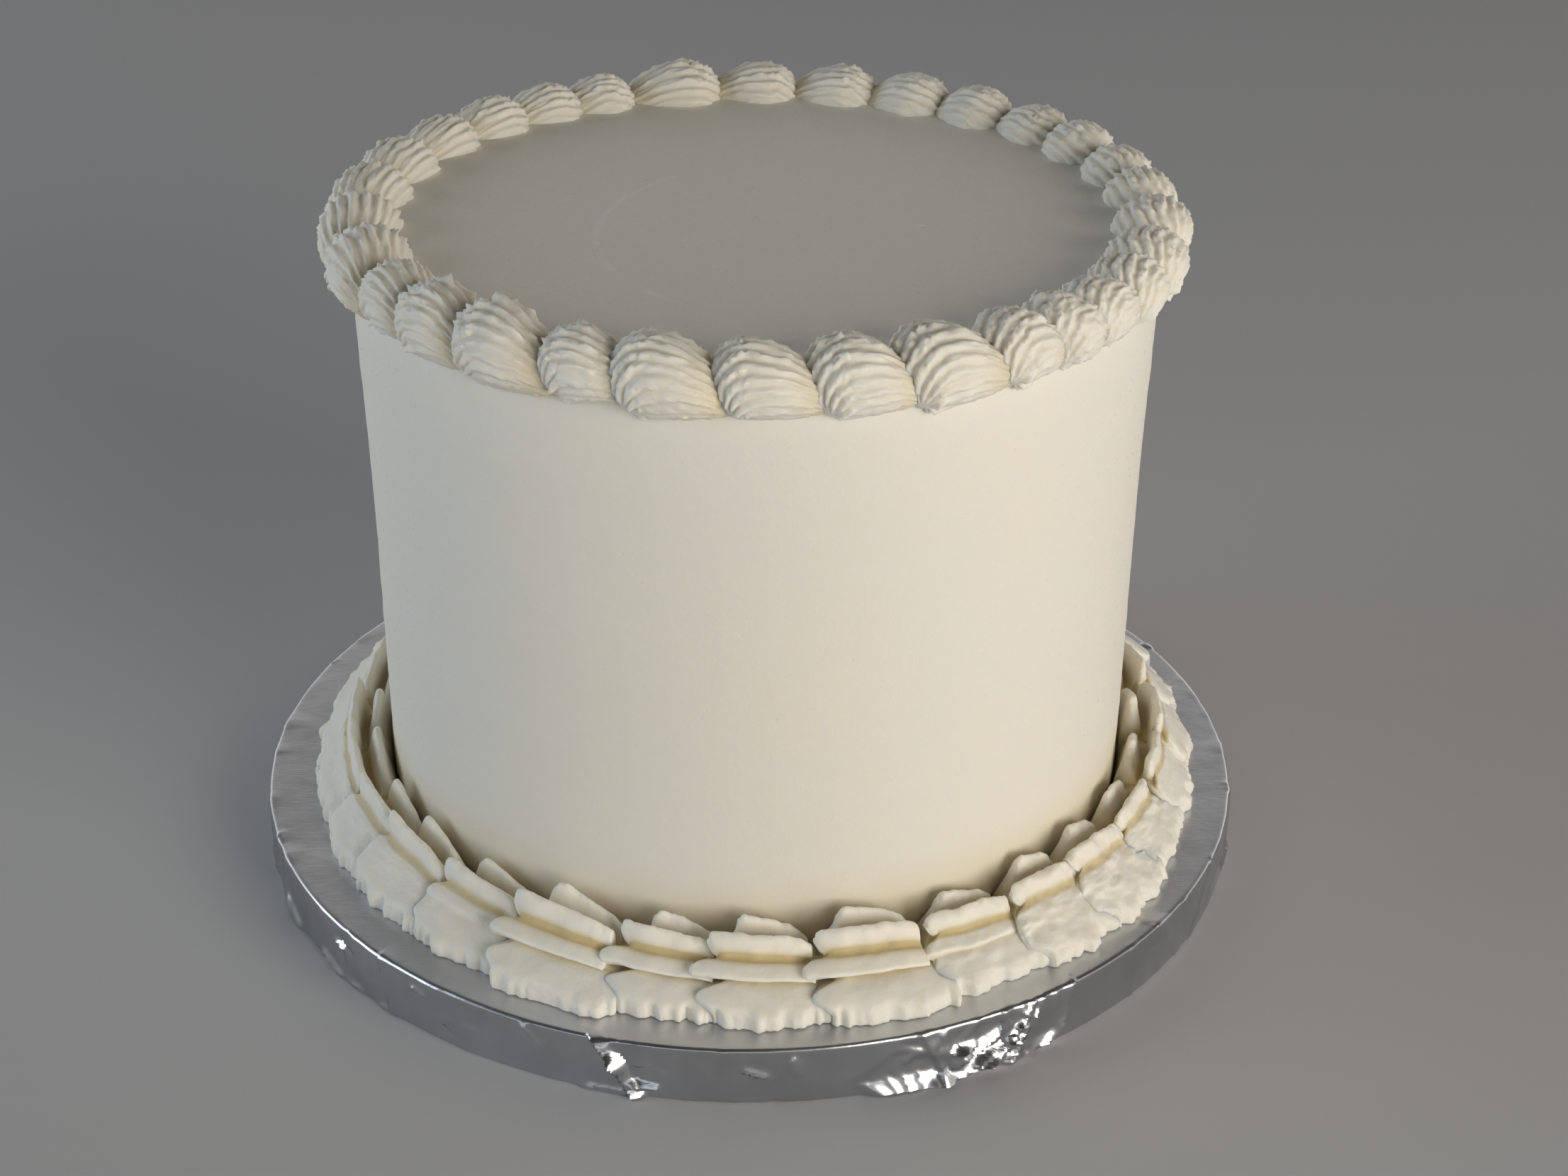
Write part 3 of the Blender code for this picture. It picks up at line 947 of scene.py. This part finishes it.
    def unit(self) -> bpy.types.Object:
        """One straight ruffle: X along it, Y out from the cake's foot and Z up from the board.

        Returns:
            The ruffle, with what each of its points does in the tree as named numbers.
        """
        outline = smooth_row(list(self.outline), self.outline_steps, True)
        plain = list(self.outline)
        for number, row in enumerate(self.plain_rows, self.plain_from):
            plain[number] = (*row, 0.0, 0.0, 0.0)
        plain = smooth_row(plain, self.outline_steps, True)
        stations = smooth_row(list(self.stations), self.station_steps, False)
        inset = self.shrunk(outline)
        rings = [(stations[0], inset)]
        rings += [((station[0] + self.end_round / MM, *station[1:]), outline) for station in stations]
        rings.append(((stations[-1][0] + 2 * self.end_round / MM, *stations[-1][1:]), inset))
        body = bmesh.new()
        labels = ("tear_up", "tear_out", "fold", "lip_fold", "plain_along", "plain_out", "plain_up")
        layers = [body.verts.layers.float.new(label) for label in labels]
        wall_side = self.outline[0][0]
        rows = []
        for number, ((place, height, reach, lift, stagger), ring) in enumerate(rings):
            row = []
            head = max(0.0, 1 - number / self.station_steps)
            for (out, up, start, curl, tear, fall), bare in zip(ring, plain):
                up = max(up, 0.0)
                level = up * height + (lift + curl * head) * min(up / 5, 1) - fall * number / len(rings)
                gap = self.fin_gap / MM * min(max((up - 5.0) / 2, 0.0), 1.0) * (number / len(rings)) ** 3
                along = place + start * stagger - gap
                vertex = body.verts.new(Vector((along, wall_side + (out - wall_side) * reach, level)) * MM)
                on_skirt = out > self.skirt_from / MM
                numbers = (
                    0.0 if on_skirt else tear, tear if on_skirt else 0.0,
                    self.near(self.folds, out, up), self.near(self.lip_folds, out, up),
                    (bare[2] - start) * stagger * MM, (bare[0] - out) * reach * MM,
                    ((bare[1] - up) * height - curl * head) * MM)
                for layer, value in zip(layers, numbers):
                    vertex[layer] = value
                row.append(vertex)
            rows.append(row)
        for row, following in zip(rows, rows[1:]):
            for i, vertex in enumerate(row):
                j = (i + 1) % len(row)
                body.faces.new((vertex, row[j], following[j], following[i]))
        flat = [Vector((point[0], point[1], 0.0)) for point in outline]
        for row in (rows[0], rows[-1]):
            for triangle in geometry.tessellate_polygon([flat]):
                body.faces.new([row[i] for i in triangle])
        bmesh.ops.recalc_face_normals(body, faces=body.faces)
        # The tree lays X, Y and Z out as a left-handed set round the cake, which turns faces over
        bmesh.ops.reverse_faces(body, faces=body.faces)
        return link("ruffle_unit", build_mesh("ruffle_unit", body))

    @staticmethod
    def near(places: tuple[tuple[float, float, float], ...], out: float, up: float) -> float:
        """How near a point of the outline lies to one of the places, each with a width."""
        nearness = [math.exp(-((out - x) ** 2 + (up - z) ** 2) / width ** 2) for x, z, width in places]
        return min(1.0, sum(nearness))

    def shrunk(self, outline: list[list[float]]) -> list[list[float]]:
        """The outline drawn in by the radius of its rounded ends.

        Args:
            outline: the full outline.

        Returns:
            The smaller one, point by point.
        """
        made = []
        for i, point in enumerate(outline):
            before, after = outline[i - 1], outline[(i + 1) % len(outline)]
            run = Vector((after[0] - before[0], after[1] - before[1]))
            inward = Vector((run.y, -run.x)).normalized() * (self.end_round / MM)
            made.append([point[0] + inward.x, point[1] + inward.y, *point[2:]])
        return made

    def tree(self, unit: bpy.types.Object, material: bpy.types.Material) -> PipingTree:
        """Build the tree that grows the ruffles.

        Args:
            unit: the straight ruffle.
            material: the ruffles' material.

        Returns:
            The tree.
        """
        piping = PipingTree("piped_ruffles", {
            "Ring radius": CAKE_FOOT_RADIUS + self.ring_out, "Ring out": self.ring_out,
            "Board height": BOARD_TOP, "Tear": self.tear, "Teeth": self.teeth, "Flutter": self.flutter})
        info = add_node(piping.tree, "GeometryNodeObjectInfo", {"Object": unit}, "Geometry")
        shape = piping.repeat(info)
        along, out, up = piping.place()
        index, girth = piping.attribute("index"), piping.attribute("girth")
        tear_up, tear_out = piping.attribute("tear_up"), piping.attribute("tear_out")

        # Where there is no lip, its points go down to the plain slope of the skirt
        lip = piping.attribute("lip")
        # Painted shade, stored for the material: darker near the recesses between the fins and, where there
        # is a lip, near the recesses at it.
        shade = (piping.attribute("fold") + piping.attribute("lip_fold") * lip) * self.fold_shade
        shape = piping.keep(shape, "hollow", shade)
        bare = 1.0 - lip
        along = along + piping.attribute("plain_along") * bare
        out = out + piping.attribute("plain_out") * bare
        up = up + piping.attribute("plain_up") * bare
        past = (out - self.narrow_from).at_least(0.0)
        out = out.at_most(self.narrow_from) + past * piping.attribute("spread")
        along = along.at_most(0.0) + along.at_least(0.0) * piping.attribute("stretch")

        # Torn crests and teeth, the fins' flutter, the skirt's lobes and lumps all over
        shift = index * 0.0431
        line = point_at(along + shift, out * 0.3, shift)
        here = point_at(along + shift, out, up)
        torn = noise_at(line, 900.0, 3.0) * 0.6 + noise_at(line, 330.0, 1.0)
        teeth = 0.28 - noise_at(line, 360.0, 1.0).size() * 2.4 + noise_at(line, 1200.0, 1.0) * 0.5
        teeth = teeth + noise_at(line, 260.0, 0.0).ramp(0.04, 0.24) * 0.45
        flutter = noise_at(point_at(along + shift, out * 0.25, shift), 110.0, 1.0)
        tall = (up / (15 * MM)).at_least(0.0)
        low = 1.0 - tall.at_most(1.0)
        lobes = noise_at(point_at(along + shift, 0.0, shift), 75.0, 1.0)
        loose = piping.attribute("loose")
        swell = noise_at(here, 210.0, 3.0) * (1.0 + loose * 1.8) + noise_at(here, 430.0, 1.0) * loose
        rise = tear_up * torn * piping.size("Tear") + swell * tall.at_most(0.4) * self.swell_up
        reach = out * girth + tear_out * teeth * piping.size("Teeth")
        reach = reach + tall * flutter * piping.size("Flutter") + lobes * low * out * 0.1
        reach = reach + swell * self.swell_out * (out / (6 * MM)).at_most(1.0)
        rise = rise + piping.attribute("slope") * along * tall * tall.at_most(1.0)
        height = (up * girth + rise).at_least(0.0)
        shape = piping.round_the_cake(shape, piping.size("Ring radius"), along,
                                      reach - piping.size("Ring out"), height + piping.size("Board height"))
        piping.finish(shape, material)
        return piping

    def build(self, material: bpy.types.Material) -> None:
        """Grow every quarter and dress it.

        Args:
            material: the ruffles' material.
        """
        unit = self.unit()
        piping = self.tree(unit, material)
        for quarter in Quarter:
            piece = piping.grow(f"foot_ruffles_{quarter.name.lower()}", self.rows(quarter))
            dress(piece, "foot_ruffle_border")
        bpy.data.objects.remove(unit)


@dataclass
class CakeCoat:
    """The coat of icing on the cake, smoothed with a palette knife."""

    bulge: float = 0.5 * MM
    bulge_depth: float = 12 * MM
    corner: float = 3 * MM
    corner_steps: int = 6
    sides: int = 300
    step: float = 1.9 * MM
    unevenness: float = 0.35 * MM
    waves: tuple[float, float, float] = (22, 22, 22)
    streaks: tuple[float, float, float] = (14, 14, 240)
    streak_share: float = 0.35
    foot_shade: float = 0.38
    shade_height: float = 10 * MM

    def profile(self) -> list[tuple[float, float]]:
        """The coat's section, from the middle of the top to the middle of the underside.

        Returns:
            The radius and height of each point.
        """
        edge = CAKE_TOP_RADIUS - self.corner
        count = round(edge / self.step)
        points = [(edge * i / count, CAKE_TOP) for i in range(count)]
        for i in range(self.corner_steps + 1):
            angle = math.pi / 2 * (1 - i / self.corner_steps)
            points.append((edge + self.corner * math.cos(angle),
                           CAKE_TOP - self.corner + self.corner * math.sin(angle)))
        wall_top = CAKE_TOP - self.corner
        wall_foot = BOARD_TOP
        count = round((wall_top - wall_foot) / self.step)
        for i in range(1, count + 1):
            height = wall_top + (wall_foot - wall_top) * i / count
            share = i / count
            radius = CAKE_TOP_RADIUS + (CAKE_FOOT_RADIUS - CAKE_TOP_RADIUS) * share
            depth = CAKE_TOP - height
            radius += self.bulge * math.exp(-((depth - self.bulge_depth) / (2 * self.bulge_depth)) ** 2)
            points.append((radius, height))
        points.append((0.0, wall_foot))
        return points

    def build(self, material: bpy.types.Material) -> None:
        """Turn the coat, make it slightly uneven and dress it.

        Args:
            material: the coat's material.
        """
        profile = self.profile()
        mesh = bpy.data.meshes.new("cake_coat")
        mesh.from_pydata([(r, 0.0, z) for r, z in profile], [(i, i + 1) for i in range(len(profile) - 1)], [])
        coat = link("cake_coat", mesh)
        screw = coat.modifiers.new("Turn", "SCREW")
        screw.steps = screw.render_steps = self.sides
        screw.use_merge_vertices = True
        screw.merge_threshold = 0.01 * MM
        turned = settle(coat)
        # Painted shade near the foot: full up to one shade height above the board, fading out by two.
        shade = turned.attributes.new("hollow", "FLOAT", "POINT")
        for vertex in turned.vertices:
            spot = vertex.co
            rise = (spot.z - BOARD_TOP) / self.shade_height
            shade.data[vertex.index].value = self.foot_shade * min(max(2 - rise, 0.0), 1.0)
            if spot.z > BOARD_TOP:
                self.make_uneven(vertex)
            vertex.co.x += CAKE_CENTRE.x
            vertex.co.y += CAKE_CENTRE.y
        turned.shade_smooth()
        turned.materials.append(material)
        dress(coat, "cake_body")

    def make_uneven(self, vertex: bpy.types.MeshVertex) -> None:
        """Move one point of the coat as the knife left it.

        Args:
            vertex: the point.
        """
        spot = vertex.co.copy()
        radius = math.hypot(spot.x, spot.y)
        broad = noise.noise(spot * Vector(self.waves))
        streak = noise.noise(spot * Vector(self.streaks))
        if radius > 1 * MM and spot.z < CAKE_TOP - 1 * MM:
            shift = self.unevenness * (broad + self.streak_share * streak)
            vertex.co.x *= 1 + shift / radius
            vertex.co.y *= 1 + shift / radius
        else:
            vertex.co.z += 0.5 * self.unevenness * (broad - 0.6)


@dataclass(frozen=True)
class Crease:
    """A straight ridge in the foil that falls away on both sides.

    Places are degrees round the board and millimetres down from its top edge, the rest millimetres.
    """

    start: tuple[float, float]
    end: tuple[float, float]
    height: float
    left: float = 1.0
    right: float = 1.0

    @staticmethod
    def spot(place: tuple[float, float]) -> Vector:
        """A place in millimetres along the rim and up from its top edge."""
        return Vector((math.radians(place[0]) * BOARD_RADIUS / MM, -place[1]))

    def rise(self, angle: float, depth: float) -> float:
        """How far the foil stands out.

        Args:
            angle: degrees round the board.
            depth: millimetres down from the top edge.

        Returns:
            The rise in millimetres.
        """
        first = self.spot(self.start)
        run = self.spot(self.end) - first
        reach = self.spot((angle, depth)) - first
        share = min(max(reach.dot(run) / run.length_squared, 0.0), 1.0)
        width = self.left if run.cross(reach) < 0 else self.right
        return self.height * max(0.0, 1 - (reach - run * share).length / width)


@dataclass
class FoilBoard:
    """A drum board wrapped by hand in silver foil, creased where it turns over the rim."""

    thickness: float = BOARD_TOP
    radius: float = 101.3 * MM
    edge: float = 0.8 * MM
    flat: float = 1.2 * MM
    inner_strip: float = 27 * MM
    sides: int = 1200
    seed: int = 5
    strip_rows: int = 12
    strip_crowding: float = 1.3
    section_rows: tuple[int, ...] = (2, 5, 23, 3, 1)
    sharp_angle: float = math.radians(24)
    lift_on_top: float = 0.25 * MM
    hold_at_foot: float = 2 * MM

    # Waves to the metre and height in millimetres of the foil's own unevenness
    unevenness = ((38, 0.12), (110, 0.06))

    # The folds that show at the front, at the left and on the top
    folds = (
        Crease((-71.5, -0.6), (-69.4, 8.0), 0.45, 0.6, 3.0),
        Crease((-69.4, 8.0), (-68.7, 12.5), 0.5, 0.6, 3.0),
        Crease((-75.8, 12.2), (-69.4, 11.6), 1.2, 0.5, 3.6),
        Crease((-75.0, 8.6), (-73.6, 12.6), 0.25, 0.4, 0.6),
        Crease((-73.4, 8.2), (-72.4, 12.6), 0.25, 0.6, 0.4),
        Crease((-71.8, 8.2), (-71.2, 12.6), 0.3, 0.4, 0.5),
        Crease((-72.4, 12.6), (-62.6, 10.8), 0.7, 0.8, 9.0),
        Crease((-77.4, 9.4), (-73.8, 12.5), 0.3, 2.0, 0.6),
        Crease((-69.2, 12.0), (-61.4, 9.0), 1.2, 0.9, 2.9),
        Crease((-67.4, 8.6), (-62.4, 4.8), 0.8, 0.7, 2.0),
        Crease((-64.4, 11.0), (-61.0, 6.8), 0.6, 0.7, 1.6),
        Crease((-62.0, -0.8), (-61.7, 6.5), 0.5, 0.4, 2.4),
        Crease((-58.0, 0.4), (-61.0, 7.5), 0.45, 1.1, 0.8),
        Crease((-56.6, 0.0), (-60.0, 9.0), 0.4, 1.0, 0.7),
        Crease((-52.4, -0.6), (-54.0, 9.0), 0.55, 2.8, 0.5),
        Crease((-54.0, 9.0), (-56.2, 12.6), 0.55, 2.4, 0.5),
        Crease((-61.2, 12.2), (-56.0, 11.0), 0.9, 0.5, 2.6),
        Crease((-105.8, -0.4), (-103.2, 5.6), 1.4, 0.8, 2.4),
        Crease((-103.6, 5.0), (-101.0, 12.6), 1.5, 0.8, 2.7),
        Crease((-101.0, 5.0), (-98.6, 4.2), 0.35, 0.5, 1.2),
        Crease((-106.2, 12.2), (-101.0, 12.4), 0.8, 0.5, 2.2),
        Crease((-101.0, 9.6), (-98.8, 9.8), 0.7, 0.5, 1.9),
        Crease((-89.6, 4.8), (-87.8, 6.0), 0.6, 0.5, 1.7),
        Crease((-84.7, 2.0), (-88.3, 10.4), 0.3, 1.0, 0.5),
        Crease((-83.9, 3.5), (-83.0, 11.5), 0.12, 1.4, 1.4),
        Crease((-91.6, 1.5), (-90.4, 10.5), 0.12, 2.0, 2.0),
        Crease((-96.2, 12.0), (-92.6, 2.0), 0.16, 3.2, 0.9),
        Crease((-90.6, 12.3), (-94.8, 3.0), 0.14, 0.9, 3.0),
        Crease((-132.9, 0.6), (-131.4, 12.0), 0.3, 0.5, 4.0),
        Crease((-127.8, 2.6), (-125.8, 3.2), 0.4, 0.5, 1.2),
        Crease((-126.9, 8.0), (-122.2, 7.0), 0.25, 0.8, 2.0),
        Crease((-144.4, 10.6), (-140.0, 12.3), 0.8, 0.6, 1.9),
        Crease((-138.8, 11.6), (-136.2, 12.4), 0.7, 0.5, 1.7),
        Crease((-132.8, 12.0), (-130.8, 12.6), 0.6, 0.5, 1.4),
        Crease((-154.6, 10.6), (-151.6, 12.2), 1.1, 0.7, 3.0),
        Crease((-161.8, 4.6), (-160.8, 8.0), 0.7, 1.2, 0.7),
        Crease((-168.0, 0.6), (-150.0, 12.0), 0.25, 3.0, 3.0),
        Crease((-66.2, -3.2), (-60.8, -6.0), 0.35, 0.5, 2.2),
        Crease((-38.4, -0.5), (-34.0, 11.0), 0.3, 0.6, 4.0),
        Crease((-30.0, 11.8), (-24.0, 1.0), 0.25, 3.5, 0.7),
    )

    # Places from the top to the foot of a strip that is pleated across, and how many pleats it has
    pleats = (
        ((-67.0, 5.0), (-62.6, 11.0), 4),
        ((-58.4, 2.0), (-61.0, 8.0), 4),
    )

    # Middle and half width in degrees, and number of folds, where the foil is crumpled small
    crumples = (
        (-65.5, 4.5, 16), (-58.0, 3.5, 8), (-100.5, 2.5, 4), (-163.0, 4.0, 8), (24.0, 6.0, 16),
        (-74.0, 3.0, 5), (-87.0, 5.0, 5), (-118.0, 6.0, 4), (-140.0, 6.0, 5), (-40.0, 6.0, 6),
        (78.0, 8.0, 22), (139.0, 7.0, 20), (176.0, 5.0, 12), (-15.0, 4.0, 8),
    )
    long_folds: int = 46

    def ways(self) -> list[float]:
        """Where each row of points lies on the section.

        Returns:
            How far each row is from the start of the rim's flat strip, inside the top first.
        """
        corner = self.edge * math.pi / 2
        side = self.thickness - 2 * self.edge
        last = self.strip_rows - 1
        rows = [-self.inner_strip * (1 - i / last) ** self.strip_crowding for i in range(self.strip_rows)]
        for length, count in zip((self.flat, corner, side, corner, self.flat), self.section_rows):
            base = rows[-1]
            rows += [base + length * (i + 1) / count for i in range(count)]
        return rows

    def path(self, way: float) -> tuple[float, float, float, float]:
        """A point on the section and the way out from it.

        Args:
            way: how far from the start of the rim's flat strip towards the underside.

        Returns:
            Its radius and height, and the outward direction there.
        """
        quarter = self.edge * math.pi / 2
        side = self.thickness - 2 * self.edge
        inner = self.radius - self.edge
        if way <= self.flat:
            return inner - self.flat + way, self.thickness, 0.0, 1.0
        way -= self.flat
        if way <= quarter:
            out, up = math.sin(way / self.edge), math.cos(way / self.edge)
            return inner + self.edge * out, self.thickness - self.edge + self.edge * up, out, up
        way -= quarter
        if way <= side:
            return self.radius, self.thickness - self.edge - way, 1.0, 0.0
        way -= side
        if way <= quarter:
            out, down = math.cos(way / self.edge), math.sin(way / self.edge)
            return inner + self.edge * out, self.edge - self.edge * down, out, -down
        return inner - (way - quarter), 0.0, 0.0, -1.0

    def all_folds(self) -> list[Crease]:
        """The folds that show, crumpled places and long faint folds all round.

        Returns:
            The folds.
        """
        draw = random.Random(self.seed)
        folds = list(self.folds)
        for top, foot, count in self.pleats:
            for step in range(count):
                share = (step + 0.5) / count
                angle, depth = (a + (b - a) * share for a, b in zip(top, foot))
                lean, half = draw.uniform(-0.7, 0.7), draw.uniform(0.5, 0.95)
                folds.append(Crease((angle - half, depth + lean), (angle + half, depth - lean),
                                    draw.uniform(0.5, 0.8), 0.5, draw.uniform(1.2, 1.7)))
        for middle, spread, count in self.crumples:
            for _ in range(count):
                angle, depth = draw.gauss(middle, spread * 0.6), draw.uniform(1.5, 12.0)
                turn, length = draw.uniform(0, math.pi), draw.uniform(0.8, 3.0)
                across, down = math.cos(turn) * length / RIM_MM_PER_DEGREE, math.sin(turn) * length
                height = draw.uniform(-0.4, 0.6)
                folds.append(Crease((angle - across, depth - down), (angle + across, depth + down),
                                    height, draw.uniform(0.8, 2.0), draw.uniform(0.8, 2.0)))
        for _ in range(self.long_folds):
            angle = draw.uniform(-180, 180)
            lean, height = draw.uniform(-5, 5), draw.uniform(0.1, 0.35)
            widths = (draw.uniform(0.8, 5.0), draw.uniform(0.8, 5.0))
            folds.append(Crease((angle - lean, draw.uniform(0, 4)), (angle + lean, draw.uniform(8, 13)),
                                height, *widths))
        return folds

    def rises(self, depths: list[float]) -> list[list[float]]:
        """How far the folds lift each point of the grid, in millimetres.

        Args:
            depths: millimetres from the top edge down to each row.

        Returns:
            A row of rises for each depth.
        """
        rises = [[0.0] * self.sides for _ in depths]
        for fold in self.all_folds():
            reach = max(fold.left, fold.right)
            spread = math.degrees(reach * MM / self.radius)
            low, high = sorted((fold.start[0], fold.end[0]))
            first = math.floor((low - spread) / 360 * self.sides)
            last = math.ceil((high + spread) / 360 * self.sides)
            top, bottom = sorted((fold.start[1], fold.end[1]))
            for row, depth in enumerate(depths):
                if top - reach < depth < bottom + reach:
                    for column in range(first, last + 1):
                        rises[row][column % self.sides] += fold.rise(column * 360 / self.sides, depth)
        return rises

    def build(self, material: bpy.types.Material) -> None:
        """Wrap the foil over the board and dress it.

        Args:
            material: the foil's material.
        """
        body = bmesh.new()
        side = body.verts.layers.float.new("side")
        ways = self.ways()
        edge_way = self.flat + self.edge * math.pi / 4
        depths = [(way - edge_way) / MM for way in ways]
        rows = []
        for way, depth, lifts in zip(ways, depths, self.rises(depths)):
            radius, height, out, up = self.path(way)
            held = min(1.0, (ways[-1] - way) / self.hold_at_foot)
            row = []
            for column, lift in enumerate(lifts):
                angle = math.tau * column / self.sides
                spot = Vector((radius * math.cos(angle), radius * math.sin(angle), height))
                calm = sum(noise.noise(spot * waves) * size for waves, size in self.unevenness)
                shift = (lift + calm) * MM * held
                wide = radius + shift * out
                level = max(height + min(shift, self.lift_on_top) * up, 0.0)
                vertex = body.verts.new((wide * math.cos(angle), wide * math.sin(angle), level))
                vertex[side] = min(max(depth + 0.6, 0.0), 1.0)
                row.append(vertex)
            rows.append(row)
        for row, following in zip(rows, rows[1:]):
            for i in range(self.sides):
                j = (i + 1) % self.sides
                body.faces.new((row[i], following[i], following[j], row[j]))
        body.faces.new(rows[0])
        body.faces.new(list(reversed(rows[-1])))
        bmesh.ops.recalc_face_normals(body, faces=body.faces)
        mesh = build_mesh("foil_board", body)
        mesh.shade_smooth()
        mesh.set_sharp_from_angle(angle=self.sharp_angle)
        mesh.materials.append(material)
        dress(link("foil_board", mesh), "board")


@dataclass(frozen=True)
class Softbox:
    """A square light that faces the cake.

    Its azimuth is in degrees round from the camera's side to the right, its elevation in degrees
    above the floor, and its power in watts.
    """

    name: str
    azimuth: float
    elevation: float
    power: float
    colour: tuple[float, float, float]
    distance: float = 1.5
    size: float = 1.0
    aim_height: float = 0.07

    def add(self) -> None:
        """Hang the light in the studio."""
        data = bpy.data.lights.new(self.name, "AREA")
        data.shape = "SQUARE"
        data.size = self.size
        data.energy = self.power
        data.color = self.colour
        light = link(self.name, data)
        turn, rise = math.radians(self.azimuth), math.radians(self.elevation)
        way = Vector((math.sin(turn) * math.cos(rise), -math.cos(turn) * math.cos(rise), math.sin(rise)))
        light.location = way * self.distance + Vector((0, 0, self.aim_height))
        light.rotation_euler = way.to_track_quat("Z", "Y").to_euler()


@dataclass
class Studio:
    """A plain pale floor, soft light and the camera of the picture."""

    photo_width: int = 2212
    focal_pixels: float = 3580.0
    sensor: float = 36.0
    eye: tuple[float, float, float] = (6.867 * MM, -459.136 * MM, 304.454 * MM)
    right: tuple[float, float, float] = (0.99996833, 0.0038441, 0.00696825)
    upward: tuple[float, float, float] = (-0.00795824, 0.48301833, 0.87557407)
    floor_size: float = 6.0
    floor_colour: tuple[float, float, float] = (0.56, 0.56, 0.57)
    floor_roughness: float = 0.8
    sky_left: tuple[float, float, float] = (0.82, 0.87, 0.98)
    sky_right: tuple[float, float, float] = (0.90, 0.86, 0.81)
    sky_behind: tuple[float, float, float] = (1.3, 1.26, 1.24)
    sky_overhead: tuple[float, float, float] = (0.05, 0.048, 0.045)
    softboxes: tuple[Softbox, ...] = (
        Softbox("warm_window", 42, 9, 18.0, (1.0, 0.94, 0.85)),
        Softbox("cool_window", -86, 13, 7.5, (0.78, 0.90, 1.0)),
    )

    def add_camera(self) -> None:
        """Stand the camera where the picture was taken from."""
        data = bpy.data.cameras.new("camera")
        data.sensor_width = self.sensor
        data.lens = self.focal_pixels * self.sensor / self.photo_width
        data.clip_start = 0.01
        camera = link("camera", data)
        right, upward = Vector(self.right), Vector(self.upward)
        turn = Matrix((right, upward, right.cross(upward))).transposed().to_4x4()
        turn.translation = self.eye
        camera.matrix_world = turn
        bpy.context.scene.camera = camera

    def add_floor(self) -> None:
        """Lay a plain pale floor under the board."""
        half = self.floor_size / 2
        mesh = bpy.data.meshes.new("studio_floor")
        corners = [(-half, -half, 0.0), (half, -half, 0.0), (half, half, 0.0), (-half, half, 0.0)]
        mesh.from_pydata(corners, [], [(0, 1, 2, 3)])
        material, _, shader = new_material("floor_paint")
        shader.inputs["Base Color"].default_value = (*self.floor_colour, 1.0)
        shader.inputs["Roughness"].default_value = self.floor_roughness
        mesh.materials.append(material)
        link("studio_floor", mesh)

    def add_sky(self) -> None:
        """Give soft light that is bright near the horizon and dim overhead."""
        world = bpy.data.worlds.new("studio")
        bpy.context.scene.world = world
        world.use_nodes = True
        tree = world.node_tree
        way = add_node(tree, "ShaderNodeTexCoord", output="Generated")
        x, y, height = parts_of(way)
        behind = y.ramp(-0.1, 0.8)
        front = mix_colour(x.ramp(-0.7, 0.7), self.sky_left, self.sky_right)
        low = mix_colour(behind, front, self.sky_behind)
        share = height.ramp(0.02, 0.42 + behind * 0.33)
        colour = mix_colour(share, low, self.sky_overhead)
        feed(tree, tree.nodes["Background"].inputs["Color"], colour)

    def build(self) -> None:
        """Set up the whole studio."""
        self.add_camera()
        self.add_floor()
        self.add_sky()
        for softbox in self.softboxes:
            softbox.add()
        bpy.context.scene.view_settings.view_transform = "Standard"


def main() -> None:
    """Build the studio and every piece, and report each piece."""
    logging.basicConfig(level=logging.INFO, format="%(message)s")
    Studio().build()
    FoilBoard().build(FoilFinish("wrapped_foil").material())
    CakeCoat().build(Buttercream("smooth_buttercream", smoothed=True, grain=0.12).material())
    ShellBorder().build(Buttercream("shell_buttercream").material())
    # The ruffles use a paler copy of the same icing as the shells: painted light that brightens them.
    RuffleBorder().build(Buttercream("ruffle_buttercream", pale=(0.88, 0.86, 0.79),
                                     warm=(0.88, 0.835, 0.73)).material())


if __name__ == "__main__":
    main()
